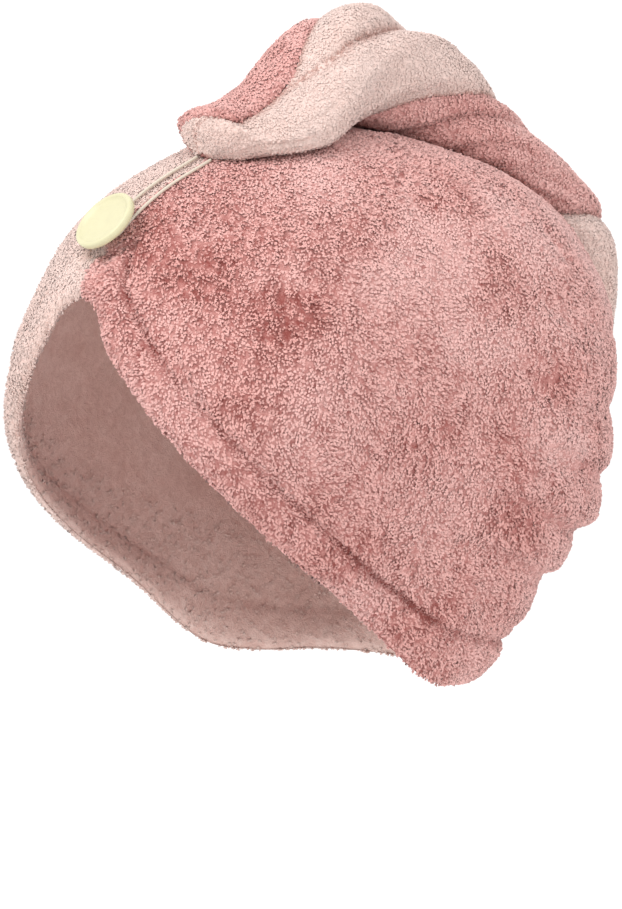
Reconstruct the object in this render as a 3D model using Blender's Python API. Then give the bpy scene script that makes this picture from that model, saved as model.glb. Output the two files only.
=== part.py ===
"""Hair turban towel, twisted and buttoned, in the form that it has on a head.

Metres, +Z up. The forehead is towards -Y and the wearer's left towards +X. The origin is the inside
of the crown, where the head carries the towel.
"""

import bpy
import bmesh
import numpy as np
from mathutils import Vector

# Hood: its surface is a reach from one centre inside the head, in every direction
CROWN_DROP = 0.085        # from the crown's inside down to the centre of reach
PILE_WALL = 0.004         # thickness of the pile fleece
FRONT_REACH = 0.108       # centre to the fleece's outside at the forehead
TEMPLE_REACH = 0.104
SIDE_REACH = 0.090
HIND_REACH = 0.116        # behind the ear
BACK_REACH = 0.130
SEAM_GAP = 0.0003         # between the two sewn panels
SEAM_SIDESTEP = 0.010     # the front seam is pulled this far to the wearer's left
CLEARANCE = 0.0003        # between pieces that touch on the real thing

# Hem: the fleece turned over once and stitched
HEM_DEPTH = 0.016         # edge to stitch line
FOLD_HEIGHT = 0.0045      # the highest of the folds behind the ears

# Tail: two strands twisted together, laid over the crown from back to front
TAIL_THICKNESS = 0.043
TAIL_HALF_WIDTH = 0.024
TAIL_SIDESTEP = 0.008     # the tail's front lies this far to the wearer's left

# Button and the elastic loop that holds the tail to it
BUTTON_DIAMETER = 0.025
BUTTON_THICKNESS = 0.0032
BUTTON_RIM = 0.0022       # width of the raised rim
BUTTON_ELEVATION = 29.0   # degrees over the centre of reach, on the front seam
BUTTON_FACING = 40.0      # degrees over level that the tipped button's face points
BUTTON_TURN = -13.0       # azimuth that it points to
SHANK_DIAMETER = 0.0045
LOOP_DIAMETER = 0.0012
LOOP_SLACK = 0.0007       # play between loop and shank

# Mesh fineness
PANEL_COLUMNS = 38
OUTSIDE_ROWS = 26
INSIDE_ROWS = 9
TAIL_STATIONS = 48
STRAND_SIDES = 14

AZIMUTHS = np.array([0.0, 40.0, 90.0, 140.0, 180.0])
NAMED_REACHES = np.array([FRONT_REACH, TEMPLE_REACH, SIDE_REACH, HIND_REACH, BACK_REACH])

# Reach by height, as shares of the five named reaches. Elevation in degrees over the centre of reach.
# elevation, front, temple, side, hind, back
REACH_ROWS = np.array([
    [-70.0, 1.04, 1.10, 1.78, 1.31, 1.25],
    [-60.0, 1.04, 1.09, 1.49, 1.18, 1.06],
    [-52.0, 1.04, 1.08, 1.31, 1.12, 0.94],
    [-42.0, 1.04, 1.07, 1.18, 1.06, 0.91],
    [-32.0, 1.04, 1.06, 1.10, 1.05, 0.96],
    [-20.0, 1.04, 1.05, 1.04, 1.03, 0.99],
    [-8.0, 1.03, 1.03, 1.01, 1.00, 1.00],
    [4.0, 1.02, 0.985, 0.99, 1.00, 1.00],
    [16.0, 0.995, 0.930, 0.975, 0.98, 0.977],
    [28.0, 0.965, 0.905, 0.970, 0.95, 0.915],
    [40.0, 0.912, 0.882, 0.975, 0.895, 0.830],
    [54.0, 0.852, 0.858, 0.978, 0.825, 0.745],
    [70.0, 0.820, 0.850, 0.985, 0.780, 0.700],
])

# Front seam: elevation, sidestep as a share of SEAM_SIDESTEP
SEAM_ROWS = np.array([
    [10.0, 0.60],
    [16.0, 0.65],
    [26.0, 0.90],
    [36.0, 1.00],
    [58.0, 1.00],
    [70.0, 0.55],
    [82.0, 0.00],
])

# Lower edge of the hood: azimuth, elevation
HEM_LINE = np.array([
    [0.0, 15.0],
    [5.0, 12.5],
    [9.0, 6.0],
    [14.0, 0.0],
    [21.0, -8.0],
    [31.0, -18.8],
    [42.0, -31.0],
    [54.0, -42.0],
    [65.0, -49.5],
    [79.0, -55.0],
    [94.0, -58.5],
    [115.0, -60.0],
    [145.0, -60.0],
    [180.0, -60.0],
])

# Hem's section, upwards from the edge: height as a share of HEM_DEPTH, then how far the outside
# stands out and how deep the inside lies, as shares of PILE_WALL
HEM_SECTION = np.array([
    [0.00, -0.45, 0.60],
    [0.08, -0.05, 1.00],
    [0.28, 0.30, 1.30],
    [0.60, 0.35, 1.35],
    [0.85, 0.15, 1.20],
    [1.00, -0.30, 1.00],
    [1.16, 0.00, 1.00],
])

# Swags of spare cloth behind the ears, hanging between the sides and the back:
# azimuth where it fades in, its elevation there, elevation behind the ear and at the back,
# height as a share of FOLD_HEIGHT, half width in degrees
FOLDS = np.array([
    [104.0, 26.0, 10.0, 0.0, 0.45, 8.0],
    [98.0, 11.0, -4.0, -10.0, 0.65, 7.5],
    [94.0, -6.0, -17.0, -22.0, 0.85, 7.0],
    [88.0, -21.0, -28.0, -31.0, 1.20, 5.6],
    [84.0, -33.0, -38.0, -40.0, 0.90, 5.0],
    [78.0, -43.0, -48.0, -50.0, 0.70, 4.8],
])

# Tail by station. Angle in degrees, 0 level at the back, 90 over the crown and 180 level in front;
# thickness and half width as shares of the named sizes; then four lines along the tail, each as the
# angle in degrees from the top of its section towards +X: where rose gives way to pink, where pink
# gives way to rose, and a crease in each colour; last the sidestep as a share of TAIL_SIDESTEP
# angle, thickness, half_width, to_pink, to_rose, rose_crease, pink_crease, sidestep
TAIL_ROWS = np.array([
    [-22.0, 0.05, 0.30, -50.0, -125.0, -80.0, -150.0, 0.35],
    [-14.0, 0.12, 0.62, -45.0, -120.0, -75.0, -150.0, 0.35],
    [-5.0, 0.19, 0.85, -35.0, -110.0, -70.0, -150.0, 0.35],
    [5.0, 0.32, 0.98, -20.0, -92.0, -55.0, -140.0, 0.35],
    [17.0, 0.60, 1.04, 35.0, -60.0, -15.0, -120.0, 0.35],
    [31.0, 0.60, 1.05, 125.0, -16.0, 18.0, -90.0, 0.35],
    [45.0, 0.74, 1.05, 160.0, 26.0, 62.0, -50.0, 0.40],
    [59.0, 0.97, 1.05, 208.0, 72.0, 116.0, -18.0, 0.50],
    [70.0, 1.05, 1.08, 262.0, 108.0, 170.0, 12.0, 0.65],
    [80.0, 1.06, 1.14, 316.0, 134.0, 230.0, 44.0, 0.80],
    [87.0, 0.94, 1.22, 350.0, 146.0, 262.0, 47.0, 0.95],
    [92.0, 0.74, 1.26, 364.0, 152.0, 285.0, 42.0, 1.10],
    [97.0, 0.56, 1.27, 378.0, 156.0, 300.0, 24.0, 1.20],
    [102.0, 0.42, 1.26, 386.0, 160.0, 310.0, 26.0, 1.25],
    [108.0, 0.36, 1.20, 398.0, 162.0, 320.0, 38.0, 1.25],
    [113.0, 0.42, 1.10, 404.0, 162.0, 305.0, 44.0, 1.20],
    [116.0, 0.44, 0.98, 390.0, 162.0, 290.0, 30.0, 1.20],
    [118.5, 0.40, 0.84, 345.0, 160.0, 280.0, -10.0, 1.20],
    [122.0, 0.17, 0.52, 325.0, 160.0, 280.0, -20.0, 1.20],
])
SEAM_CREASE = (0.21, 52.0)    # depth as a share of the section, half width in degrees
ROSE_CREASE = (0.17, 42.0)
PINK_CREASE = (0.20, 42.0)

ROSE = (0.66, 0.34, 0.32)
PINK = (0.82, 0.60, 0.55)
IVORY = (0.80, 0.74, 0.52)
CREAM = (0.85, 0.80, 0.72)


def clear_scene():
    for old in list(bpy.data.objects):
        bpy.data.objects.remove(old, do_unlink=True)


def through(x, stations, values):
    """Cubic through the rows of a table, with the slope at each row taken from its neighbours."""
    slopes = np.gradient(values, stations)
    x = np.clip(x, stations[0], stations[-1])
    row = np.clip(np.searchsorted(stations, x, side="right") - 1, 0, len(stations) - 2)
    span = stations[row + 1] - stations[row]
    t = (x - stations[row]) / span
    rise = (3.0 - 2.0 * t) * t * t
    start = values[row] * (1.0 - rise) + slopes[row] * span * t * (1.0 - t) ** 2
    end = values[row + 1] * rise - slopes[row + 1] * span * t * t * (1.0 - t)
    return start + end


def ease(t):
    t = np.clip(t, 0.0, 1.0)
    return t * t * (3.0 - 2.0 * t)


def plain_reach(azimuth, elevation):
    """Reach without folds: each named reach times its share, joined round by a cubic in azimuth."""
    turn = np.abs((azimuth + 180.0) % 360.0 - 180.0)
    heights = np.append(REACH_ROWS[:, 0], 90.0)
    crown = CROWN_DROP + PILE_WALL
    around = [through(elevation, heights, np.append(REACH_ROWS[:, k + 1] * NAMED_REACHES[k], crown))
              for k in range(5)]
    slopes = [np.zeros_like(turn)]
    for k in (1, 2, 3):
        slopes.append((around[k + 1] - around[k - 1]) / (AZIMUTHS[k + 1] - AZIMUTHS[k - 1]))
    slopes.append(np.zeros_like(turn))
    reach = np.zeros_like(turn)
    for k in range(4):
        span = AZIMUTHS[k + 1] - AZIMUTHS[k]
        t = (turn - AZIMUTHS[k]) / span
        rise = (3.0 - 2.0 * t) * t * t
        part = (around[k] * (1.0 - rise) + slopes[k] * span * t * (1.0 - t) ** 2
                + around[k + 1] * rise - slopes[k + 1] * span * t * t * (1.0 - t))
        inside = (t >= 0.0) & ((t < 1.0) | (k == 3))
        reach = np.where(inside, part, reach)
    return reach


def fold_height(azimuth, elevation):
    """Sum of the swags: each a soft ridge, steeper below, along a path that sinks to the back."""
    turn = np.abs((azimuth + 180.0) % 360.0 - 180.0)
    height = np.zeros_like(turn)
    for start, high, hind, back, share, half_width in FOLDS:
        crest = np.where(turn < 140.0,
                         high + (hind - high) * ease((turn - start) / (140.0 - start)),
                         hind + (back - hind) * ease((turn - 140.0) / 40.0))
        across = (elevation - crest) / half_width
        across = np.where(across < 0.0, across * 1.35, across * 0.9)
        ridge = np.clip(1.0 - across * across, 0.0, 1.0) ** 1.5
        height += FOLD_HEIGHT * share * ridge * ease((turn - start) / 38.0)
    return height


def reach(azimuth, elevation):
    return plain_reach(azimuth, elevation) + fold_height(azimuth, elevation)


def directions(azimuth, elevation):
    """Unit vectors outwards, up and round at an azimuth from the forehead and an elevation."""
    a, e = np.radians(azimuth), np.radians(elevation)
    out = np.stack([np.sin(a) * np.cos(e), -np.cos(a) * np.cos(e), np.sin(e)], -1)
    up = np.stack([-np.sin(a) * np.sin(e), np.cos(a) * np.sin(e), np.cos(e)], -1)
    around = np.stack([np.cos(a), np.sin(a), np.zeros_like(a)], -1)
    return out, up, around


def hood_normal(azimuth, elevation, surface=reach):
    """Outward normal of the hood, from the reach's slopes over half a degree each way."""
    out, up, around = directions(azimuth, elevation)
    step = np.radians(0.5)
    here = surface(azimuth, elevation)
    rise = surface(azimuth, np.minimum(elevation + 0.5, 90.0)) - surface(azimuth, elevation - 0.5)
    swing = surface(azimuth + 0.5, elevation) - surface(azimuth - 0.5, elevation)
    rise, swing = rise / (2.0 * step), swing / (2.0 * step)
    level = np.maximum(np.cos(np.radians(elevation)), 0.05)
    normal = out - up * (rise / here)[..., None] - around * (swing / (here * level))[..., None]
    return normal / np.linalg.norm(normal, axis=-1, keepdims=True)


def hood_point(azimuth, elevation, above=0.0, surface=reach):
    """Point at a distance above the hood's outside, along its normal."""
    out = directions(azimuth, elevation)[0]
    centre = np.array([0.0, 0.0, -CROWN_DROP])
    foot = centre + out * surface(azimuth, elevation)[..., None]
    return foot + hood_normal(azimuth, elevation, surface) * np.asarray(above)[..., None]


def hem_elevation(azimuth):
    return through(azimuth, HEM_LINE[:, 0], HEM_LINE[:, 1])


def seam_azimuth(elevation):
    """Azimuth of the front seam, from its sidestep over the reach's level length."""
    across = through(elevation, SEAM_ROWS[:, 0], SEAM_ROWS[:, 1]) * SEAM_SIDESTEP
    level = plain_reach(0.0 * elevation, elevation) * np.maximum(np.cos(np.radians(elevation)), 0.05)
    return np.degrees(np.arcsin(across / level))


def panel_side(side, azimuth, offsets, rows, surface):
    """One side of a panel: the hem's rows, then rows that widen towards the crown.

    side is 1 for the wearer's left and -1 for the right. azimuth counts from the front seam, whose
    own swing is added in full there and fades to nothing at a quarter turn. offsets gives how far
    each of the hem's rows lies off the surface, in metres.
    """
    hem = hem_elevation(azimuth)
    lean = np.hypot(1.0, np.gradient(hem, azimuth) / np.cos(np.radians(hem)))
    band = np.degrees(HEM_DEPTH * lean / surface(azimuth, hem))
    elevation = [hem + height * band for height in HEM_SECTION[:, 0]]
    first = elevation[-1]
    for k in range(1, rows + 1):
        elevation.append(first + (90.0 - first) * (k / rows) ** 1.4)
    offsets = np.concatenate([offsets, np.full(rows, offsets[-1])])
    elevation = np.stack(elevation, 1)
    swing = seam_azimuth(elevation) * np.clip(1.0 - azimuth / 90.0, 0.0, 1.0)[:, None]
    around = side * azimuth[:, None] + swing
    points = hood_point(around, elevation, offsets + 0.0 * elevation, surface)
    points[-1, :, 0] = 0.0
    points[:, -1] = points[-1, -1]
    points[:, :, 0] += side * SEAM_GAP / 2.0
    return points


def panel_sides(side):
    """Outside with its folds, and inside without them, on the same columns by azimuth."""
    azimuth = np.linspace(0.0, 180.0, PANEL_COLUMNS + 1)
    azimuth = azimuth - 9.0 * np.sin(np.radians(azimuth))
    outside = panel_side(side, azimuth, HEM_SECTION[:, 1] * PILE_WALL, OUTSIDE_ROWS, reach)
    inside = panel_side(side, azimuth, -HEM_SECTION[:, 2] * PILE_WALL, INSIDE_ROWS, plain_reach)
    return outside, inside


def mesh_object(name, points, faces, material):
    mesh = bpy.data.meshes.new(name)
    mesh.from_pydata([tuple(p) for p in points], [], faces)
    work = bmesh.new()
    work.from_mesh(mesh)
    bmesh.ops.remove_doubles(work, verts=work.verts, dist=1e-6)
    bmesh.ops.dissolve_degenerate(work, edges=work.edges, dist=1e-7)
    bmesh.ops.recalc_face_normals(work, faces=work.faces)
    work.to_mesh(mesh)
    work.free()
    mesh.materials.append(material)
    piece = bpy.data.objects.new(name, mesh)
    bpy.context.collection.objects.link(piece)
    return piece


def finish(name, colour, roughness):
    material = bpy.data.materials.new(name)
    material.use_nodes = True
    shader = material.node_tree.nodes["Principled BSDF"]
    shader.inputs["Base Color"].default_value = (*colour, 1.0)
    shader.inputs["Roughness"].default_value = roughness
    shader.inputs["Metallic"].default_value = 0.0
    material.diffuse_color = (*colour, 1.0)
    return material


def hood_panel(name, side, colour):
    """One half of the hood, side 1 for the wearer's left and -1 for the right."""
    outside, inside = panel_sides(side)
    loops = np.concatenate([outside, inside[:, ::-1]], 1)
    columns, around = loops.shape[:2]
    faces = []
    for i in range(columns - 1):
        for j in range(around):
            k = (j + 1) % around
            faces.append((i * around + j, i * around + k, (i + 1) * around + k, (i + 1) * around + j))
    for i in (0, columns - 1):
        faces.append(tuple(range(i * around, (i + 1) * around)))
    return mesh_object(name, loops.reshape(-1, 3), faces, finish(name, colour, 0.95))


def tail_lines(station):
    """Thickness, half width, the four lines and the sidestep of the tail at each station."""
    columns = [through(station, TAIL_ROWS[:, 0], TAIL_ROWS[:, k]) for k in range(1, 8)]
    columns[0] = columns[0] * TAIL_THICKNESS
    columns[1] = columns[1] * TAIL_HALF_WIDTH
    columns[6] = columns[6] * TAIL_SIDESTEP
    return columns


def over_crown(station):
    """Azimuth and elevation of the median plane at an angle counted from the back over the crown."""
    front = station > 90.0
    return np.where(front, 0.0, 180.0), np.where(front, 180.0 - station, station)


def tail_seat(station, sideways):
    """Direction away from the head at a station, and how far along it the hood lies at a place
    sideways of the median plane: the reach towards that place, found in two steps."""
    angle = np.radians(station)
    away = np.stack([np.zeros_like(angle), np.cos(angle), np.sin(angle)], -1)
    distance = reach(*over_crown(station))
    for _ in range(2):
        ray = away * distance[..., None]
        ray[..., 0] = sideways
        length = np.linalg.norm(ray, axis=-1)
        azimuth = np.degrees(np.arctan2(ray[..., 0], -ray[..., 1]))
        there = reach(azimuth, np.degrees(np.arcsin(ray[..., 2] / length)))
        distance = np.sqrt(np.maximum(there ** 2 - sideways ** 2, (0.5 * there) ** 2))
    return away, distance + 2.0 * CLEARANCE


def tail_surface(station, angle):
    """Outside of the tail: an oval section bent to the hood that it lies on, square below, with a
    sharp crease at each of its four lines."""
    thickness, half_width, to_pink, to_rose, rose_line, pink_line, sidestep = tail_lines(station)
    share = np.ones_like(angle)
    creases = ((to_pink, SEAM_CREASE), (to_rose, SEAM_CREASE),
               (rose_line, ROSE_CREASE), (pink_line, PINK_CREASE))
    for line, (depth, width) in creases:
        apart = np.abs((angle - line + 180.0) % 360.0 - 180.0)
        share = share - depth * np.clip(1.0 - apart / width, 0.0, 1.0) ** 2
    turn = np.radians(angle)
    square = (np.abs(np.cos(turn)) ** 4 + np.abs(np.sin(turn)) ** 4) ** (-1.0 / 4.0)
    share = share * np.where(np.cos(turn) < 0.0, square, 1.0)
    sideways = sidestep + half_width * share * np.sin(turn)
    away, seat = tail_seat(station, sideways)
    points = away * (seat + thickness / 2.0 * (1.0 + share * np.cos(turn)))[..., None]
    points[..., 0] += sideways
    points[..., 2] -= CROWN_DROP
    return points


def strand(name, colour, first, last):
    """One strand: its share of the outside, and two flat sides that meet at the tail's middle.

    first and last pick the table's lines that bound it. Both strands split their flat sides along
    the same diagonals, half a clearance off the common middle.
    """
    span = TAIL_ROWS[-1, 0] - TAIL_ROWS[0, 0]
    share = np.linspace(0.0, 1.0, TAIL_STATIONS + 1)
    share = 0.55 * share + 0.45 * (0.5 - 0.5 * np.cos(np.pi * share))
    station = TAIL_ROWS[0, 0] + span * share
    lines = tail_lines(station)
    start = lines[first]
    width = (lines[last] - start) % 360.0
    thickness, half_width = lines[0], lines[1]
    slim = np.degrees(CLEARANCE / 2.0 / np.minimum(thickness / 2.0, half_width))
    t = np.linspace(0.0, 1.0, STRAND_SIDES + 1)
    angle = (start + slim)[:, None] + (width - 2.0 * slim)[:, None] * t[None, :]
    outside = tail_surface(np.repeat(station[:, None], len(t), 1), angle)
    away, seat = tail_seat(station, lines[6])
    apex = away * (seat + thickness / 2.0)[:, None]
    bisector = np.radians(start + width / 2.0)
    back_off = CLEARANCE / 2.0 / np.maximum(np.sin(np.radians(width / 2.0)), 0.35)
    apex += away * (back_off * np.cos(bisector))[:, None]
    apex[:, 0] += lines[6] + back_off * np.sin(bisector)
    apex[:, 2] -= CROWN_DROP
    ring = np.concatenate([apex[:, None, :], outside], 1)
    sides = ring.shape[1]
    faces = []
    for i in range(len(station) - 1):
        for j in range(sides):
            k = (j + 1) % sides
            a, b = i * sides + j, i * sides + k
            c, d = (i + 1) * sides + k, (i + 1) * sides + j
            if j == sides - 1:
                faces += [(a, b, d), (b, c, d)]
            else:
                faces += [(a, b, c), (a, c, d)]
    for i in (0, len(station) - 1):
        for j in range(1, sides - 1):
            faces.append((i * sides, i * sides + j, i * sides + j + 1))
    return mesh_object(name, ring.reshape(-1, 3), faces, finish(name, colour, 0.95))


def button_seat():
    """Point of the front seam under the button, the hood's normal there, and the button's axis."""
    elevation = np.array(BUTTON_ELEVATION)
    seam = seam_azimuth(elevation)
    return (hood_point(seam, elevation), hood_normal(seam, elevation),
            directions(np.array(BUTTON_TURN), np.array(BUTTON_FACING))[0])


def button_heights():
    """Where the shank starts above the seat, and where the button's underside is, both along the
    axis: high enough for the tilt to bring no edge nearer than a clearance."""
    seat, normal, axis = button_seat()
    lean = np.linalg.norm(np.cross(normal, axis))
    foot = CLEARANCE + SHANK_DIAMETER / 2.0 * lean
    loop_reach = SHANK_DIAMETER / 2.0 + LOOP_SLACK + LOOP_DIAMETER
    return foot, 2.0 * CLEARANCE + LOOP_DIAMETER + loop_reach * lean


def button():
    """Dished disc with a raised rim, turned in one piece with the shank under it."""
    radius = BUTTON_DIAMETER / 2.0
    shank = SHANK_DIAMETER / 2.0
    foot, underside = button_heights()
    top = underside + BUTTON_THICKNESS
    profile = [
        (0.0, top - BUTTON_THICKNESS * 0.40),
        (radius * 0.55, top - BUTTON_THICKNESS * 0.36),
        (radius - BUTTON_RIM, top - BUTTON_THICKNESS * 0.22),
        (radius - BUTTON_RIM * 0.6, top),
        (radius - BUTTON_RIM * 0.2, top - BUTTON_THICKNESS * 0.04),
        (radius, top - BUTTON_THICKNESS * 0.28),
        (radius * 0.97, underside + BUTTON_THICKNESS * 0.22),
        (radius * 0.86, underside),
        (shank, underside),
        (shank, foot),
        (0.0, foot),
    ]
    work = bmesh.new()
    corners = [work.verts.new((x, 0.0, z)) for x, z in profile]
    edges = [work.edges.new(pair) for pair in zip(corners, corners[1:])]
    bmesh.ops.spin(work, geom=corners + edges, cent=(0, 0, 0), axis=(0, 0, 1),
                   angle=2.0 * np.pi, steps=24, use_duplicate=False)
    bmesh.ops.remove_doubles(work, verts=work.verts, dist=1e-6)
    bmesh.ops.recalc_face_normals(work, faces=work.faces)
    mesh = bpy.data.meshes.new("button")
    work.to_mesh(mesh)
    work.free()
    mesh.materials.append(finish("button", IVORY, 0.35))
    piece = bpy.data.objects.new("button", mesh)
    bpy.context.collection.objects.link(piece)
    seat, normal, axis = button_seat()
    piece.location = seat
    piece.rotation_euler = Vector(axis).to_track_quat("Z", "Y").to_euler()
    return piece


def loop_path():
    """Middle of the elastic: from the tail's tip down one side of the seam, round the shank and back."""
    lift = CLEARANCE + LOOP_DIAMETER / 2.0
    half = SHANK_DIAMETER / 2.0 + LOOP_SLACK + LOOP_DIAMETER / 2.0
    seat, normal, axis = button_seat()
    middle = seat + axis * (lift / (axis @ normal))
    side = np.cross(normal, hood_point(seam_azimuth(np.array(BUTTON_ELEVATION + 1.0)),
                                       np.array(BUTTON_ELEVATION + 1.0)) - seat)
    side = -side / np.linalg.norm(side)
    down = np.cross(side, normal)
    tip = tail_surface(np.array([TAIL_ROWS[-1, 0]]), np.array([180.0]))[0]
    tip_elevation = np.degrees(np.arctan2(tip[2] + CROWN_DROP, -tip[1]))
    reach_here = np.linalg.norm(tip - np.array([0.0, 0.0, -CROWN_DROP]))
    start = tip_elevation - np.degrees((LOOP_DIAMETER / 2.0 + CLEARANCE) / reach_here)
    beside = np.radians(seam_azimuth(start)) + half / reach_here
    start = np.degrees(np.arctan(np.tan(np.radians(start)) * np.cos(beside)))
    run = np.linspace(start, BUTTON_ELEVATION, 9)[:-1]
    straight = hood_point(seam_azimuth(run), run, lift + 0.0 * run)
    turns = np.radians(np.linspace(0.0, 180.0, 9))
    bend = [middle + side * half * np.cos(t) + down * half * np.sin(t) for t in turns]
    return np.concatenate([straight + side * half, np.array(bend), straight[::-1] - side * half])


def elastic_loop():
    """Round elastic as a curve with a bevel."""
    curve = bpy.data.curves.new("elastic_loop", "CURVE")
    curve.dimensions = "3D"
    curve.bevel_depth = LOOP_DIAMETER / 2.0
    curve.bevel_resolution = 1
    curve.use_fill_caps = True
    path = loop_path()
    line = curve.splines.new("POLY")
    line.points.add(len(path) - 1)
    for knot, place in zip(line.points, path):
        knot.co = (*place, 1.0)
    curve.materials.append(finish("elastic_loop", CREAM, 0.8))
    piece = bpy.data.objects.new("elastic_loop", curve)
    bpy.context.collection.objects.link(piece)
    return piece


def main():
    clear_scene()
    hood_panel("hood_left_panel", 1.0, ROSE)
    hood_panel("hood_right_panel", -1.0, PINK)
    strand("tail_rose_strand", ROSE, 3, 2)
    strand("tail_pink_strand", PINK, 2, 3)
    button()
    elastic_loop()


main()
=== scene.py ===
"""Looks of the twisted and buttoned hair turban towel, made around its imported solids.

Metres, +Z up. The forehead is towards -Y and the wearer's left, the rose half, towards +X. The
origin is the inside of the crown.
"""

import bmesh
import bpy
import numpy as np
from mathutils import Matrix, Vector

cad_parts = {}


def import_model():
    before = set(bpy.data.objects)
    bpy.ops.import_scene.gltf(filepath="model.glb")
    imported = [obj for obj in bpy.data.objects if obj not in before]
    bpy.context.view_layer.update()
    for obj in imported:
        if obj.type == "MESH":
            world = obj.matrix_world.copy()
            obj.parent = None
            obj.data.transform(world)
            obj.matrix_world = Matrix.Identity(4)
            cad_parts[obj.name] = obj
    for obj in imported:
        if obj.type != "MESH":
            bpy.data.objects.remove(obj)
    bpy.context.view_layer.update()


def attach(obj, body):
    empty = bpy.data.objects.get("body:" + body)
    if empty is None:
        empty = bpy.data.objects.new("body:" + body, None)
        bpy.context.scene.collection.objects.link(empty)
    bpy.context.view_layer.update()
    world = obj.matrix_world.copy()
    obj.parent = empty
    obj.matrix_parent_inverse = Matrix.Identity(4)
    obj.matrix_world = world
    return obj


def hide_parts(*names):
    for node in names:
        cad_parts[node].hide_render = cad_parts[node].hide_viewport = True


# Hood: its surface is a reach from one centre inside the head, in every direction
CROWN_DROP = 0.085        # from the crown's inside down to the centre of reach
PILE_WALL = 0.004         # thickness of the pile fleece
FRONT_REACH = 0.108       # centre to the fleece's outside at the forehead
TEMPLE_REACH = 0.104
SIDE_REACH = 0.090
HIND_REACH = 0.116        # behind the ear
BACK_REACH = 0.130
SEAM_GAP = 0.0003         # between the two sewn panels
SEAM_SIDESTEP = 0.010     # the front seam is pulled this far to the wearer's left
CLEARANCE = 0.0003        # between pieces that touch on the real thing

# Hem and folds
HEM_DEPTH = 0.016         # edge to stitch line
FOLD_HEIGHT = 0.0045      # the highest of the folds behind the ears
CREASE_DEPTH = 0.0022     # the deepest of the creases in the near side

# Tail
TAIL_THICKNESS = 0.043
TAIL_HALF_WIDTH = 0.024
TAIL_SIDESTEP = 0.008     # the tail's front lies this far to the wearer's left

# Button and elastic loop
BUTTON_DIAMETER = 0.025
BUTTON_THICKNESS = 0.0032
BUTTON_RIM = 0.0022       # width of the raised rim
BUTTON_ELEVATION = 29.0   # degrees over the centre of reach, on the front seam
BUTTON_FACING = 40.0      # degrees over level that the tipped button's axis points
BUTTON_TURN = -13.0       # azimuth that its axis points to
SHANK_DIAMETER = 0.0045
LOOP_DIAMETER = 0.0012
LOOP_SLACK = 0.0007       # play between loop and shank

# Pile
GROUND_DEPTH = 0.0011     # the knitted ground lies this far under the pile's tips
TUFT_LENGTH = 0.0019
ROOT_DEPTH = 0.0004       # a tuft starts this far under the ground
TUFT_LEAN = 56.0          # degrees from the cloth's normal, for pile that stands up
FLAT_LEAN = 16.0          # degrees more where the pile is brushed flat
CALM_LEAN = 10.0          # degrees more where it isn't broken into clumps
CLUMP_SIZE = 0.0019       # cell size of the noise whose patches are the clumps
CLUMP_HEIGHT = 0.62       # scale of that noise's upward axis, which makes clumps longer up and down
PILE_SINK = 0.0004        # the elastic presses this far into the pile
PILE_GRID = (230, 150)    # columns and rows of the grids on which a panel's tufts are sown
STRAND_GRID = (150, 70)   # stations and sides of a strand's grids
HEM_ROWS = 16             # rows of the panels' grids over the hem

# Camera, from the photograph
CAMERA_AZIMUTH = 51.0
CAMERA_ELEVATION = 5.0
CAMERA_DISTANCE = 1.5
METRES_PER_PIXEL = 0.00037
IMAGE_SIZE = (622.0, 909.0)
ORIGIN_PIXEL = (296.0, 130.0)
SENSOR_WIDTH = 36.0
FLOOR_HEIGHT = -0.42
FLOOR_REACH = 6.0
LAMP_AIM = -0.10          # height of the towel's middle

AZIMUTHS = np.array([0.0, 40.0, 90.0, 140.0, 180.0])
NAMED_REACHES = np.array([FRONT_REACH, TEMPLE_REACH, SIDE_REACH, HIND_REACH, BACK_REACH])
CENTRE = np.array([0.0, 0.0, -CROWN_DROP])

# Reach by height, as shares of the five named reaches
# elevation, front, temple, side, hind, back
REACH_ROWS = np.array([
    [-70, 1.04, 1.10, 1.78, 1.31, 1.25],
    [-60, 1.04, 1.09, 1.49, 1.18, 1.06],
    [-52, 1.04, 1.08, 1.31, 1.12, 0.94],
    [-42, 1.04, 1.07, 1.18, 1.06, 0.91],
    [-32, 1.04, 1.06, 1.10, 1.05, 0.96],
    [-20, 1.04, 1.05, 1.04, 1.03, 0.99],
    [-8, 1.03, 1.03, 1.01, 1.00, 1.00],
    [4, 1.02, 0.985, 0.99, 1.00, 1.00],
    [16, 0.995, 0.930, 0.975, 0.98, 0.977],
    [28, 0.965, 0.905, 0.970, 0.95, 0.915],
    [40, 0.912, 0.882, 0.975, 0.895, 0.830],
    [54, 0.852, 0.858, 0.978, 0.825, 0.745],
    [70, 0.820, 0.850, 0.985, 0.780, 0.700],
])

# Front seam: elevation, sidestep as a share of SEAM_SIDESTEP
SEAM_ROWS = np.array([
    [10, 0.60],
    [16, 0.65],
    [26, 0.90],
    [36, 1.00],
    [58, 1.00],
    [70, 0.55],
    [82, 0.00],
])

# Lower edge of the hood: azimuth, elevation
HEM_LINE = np.array([
    [0, 15],
    [5, 12.5],
    [9, 6],
    [14, 0],
    [21, -8],
    [31, -18.8],
    [42, -31],
    [54, -42],
    [65, -49.5],
    [79, -55],
    [94, -58.5],
    [115, -60],
    [145, -60],
    [180, -60],
])

# Hem's section upwards from the edge: height as a share of HEM_DEPTH, then how far the outside
# stands out and how deep the inside lies, as shares of PILE_WALL
HEM_SECTION = np.array([
    [0.00, -0.45, 0.60],
    [0.08, -0.05, 1.00],
    [0.28, 0.30, 1.30],
    [0.60, 0.35, 1.35],
    [0.85, 0.15, 1.20],
    [1.00, -0.50, 1.00],
    [1.16, 0.00, 1.00],
])

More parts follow.
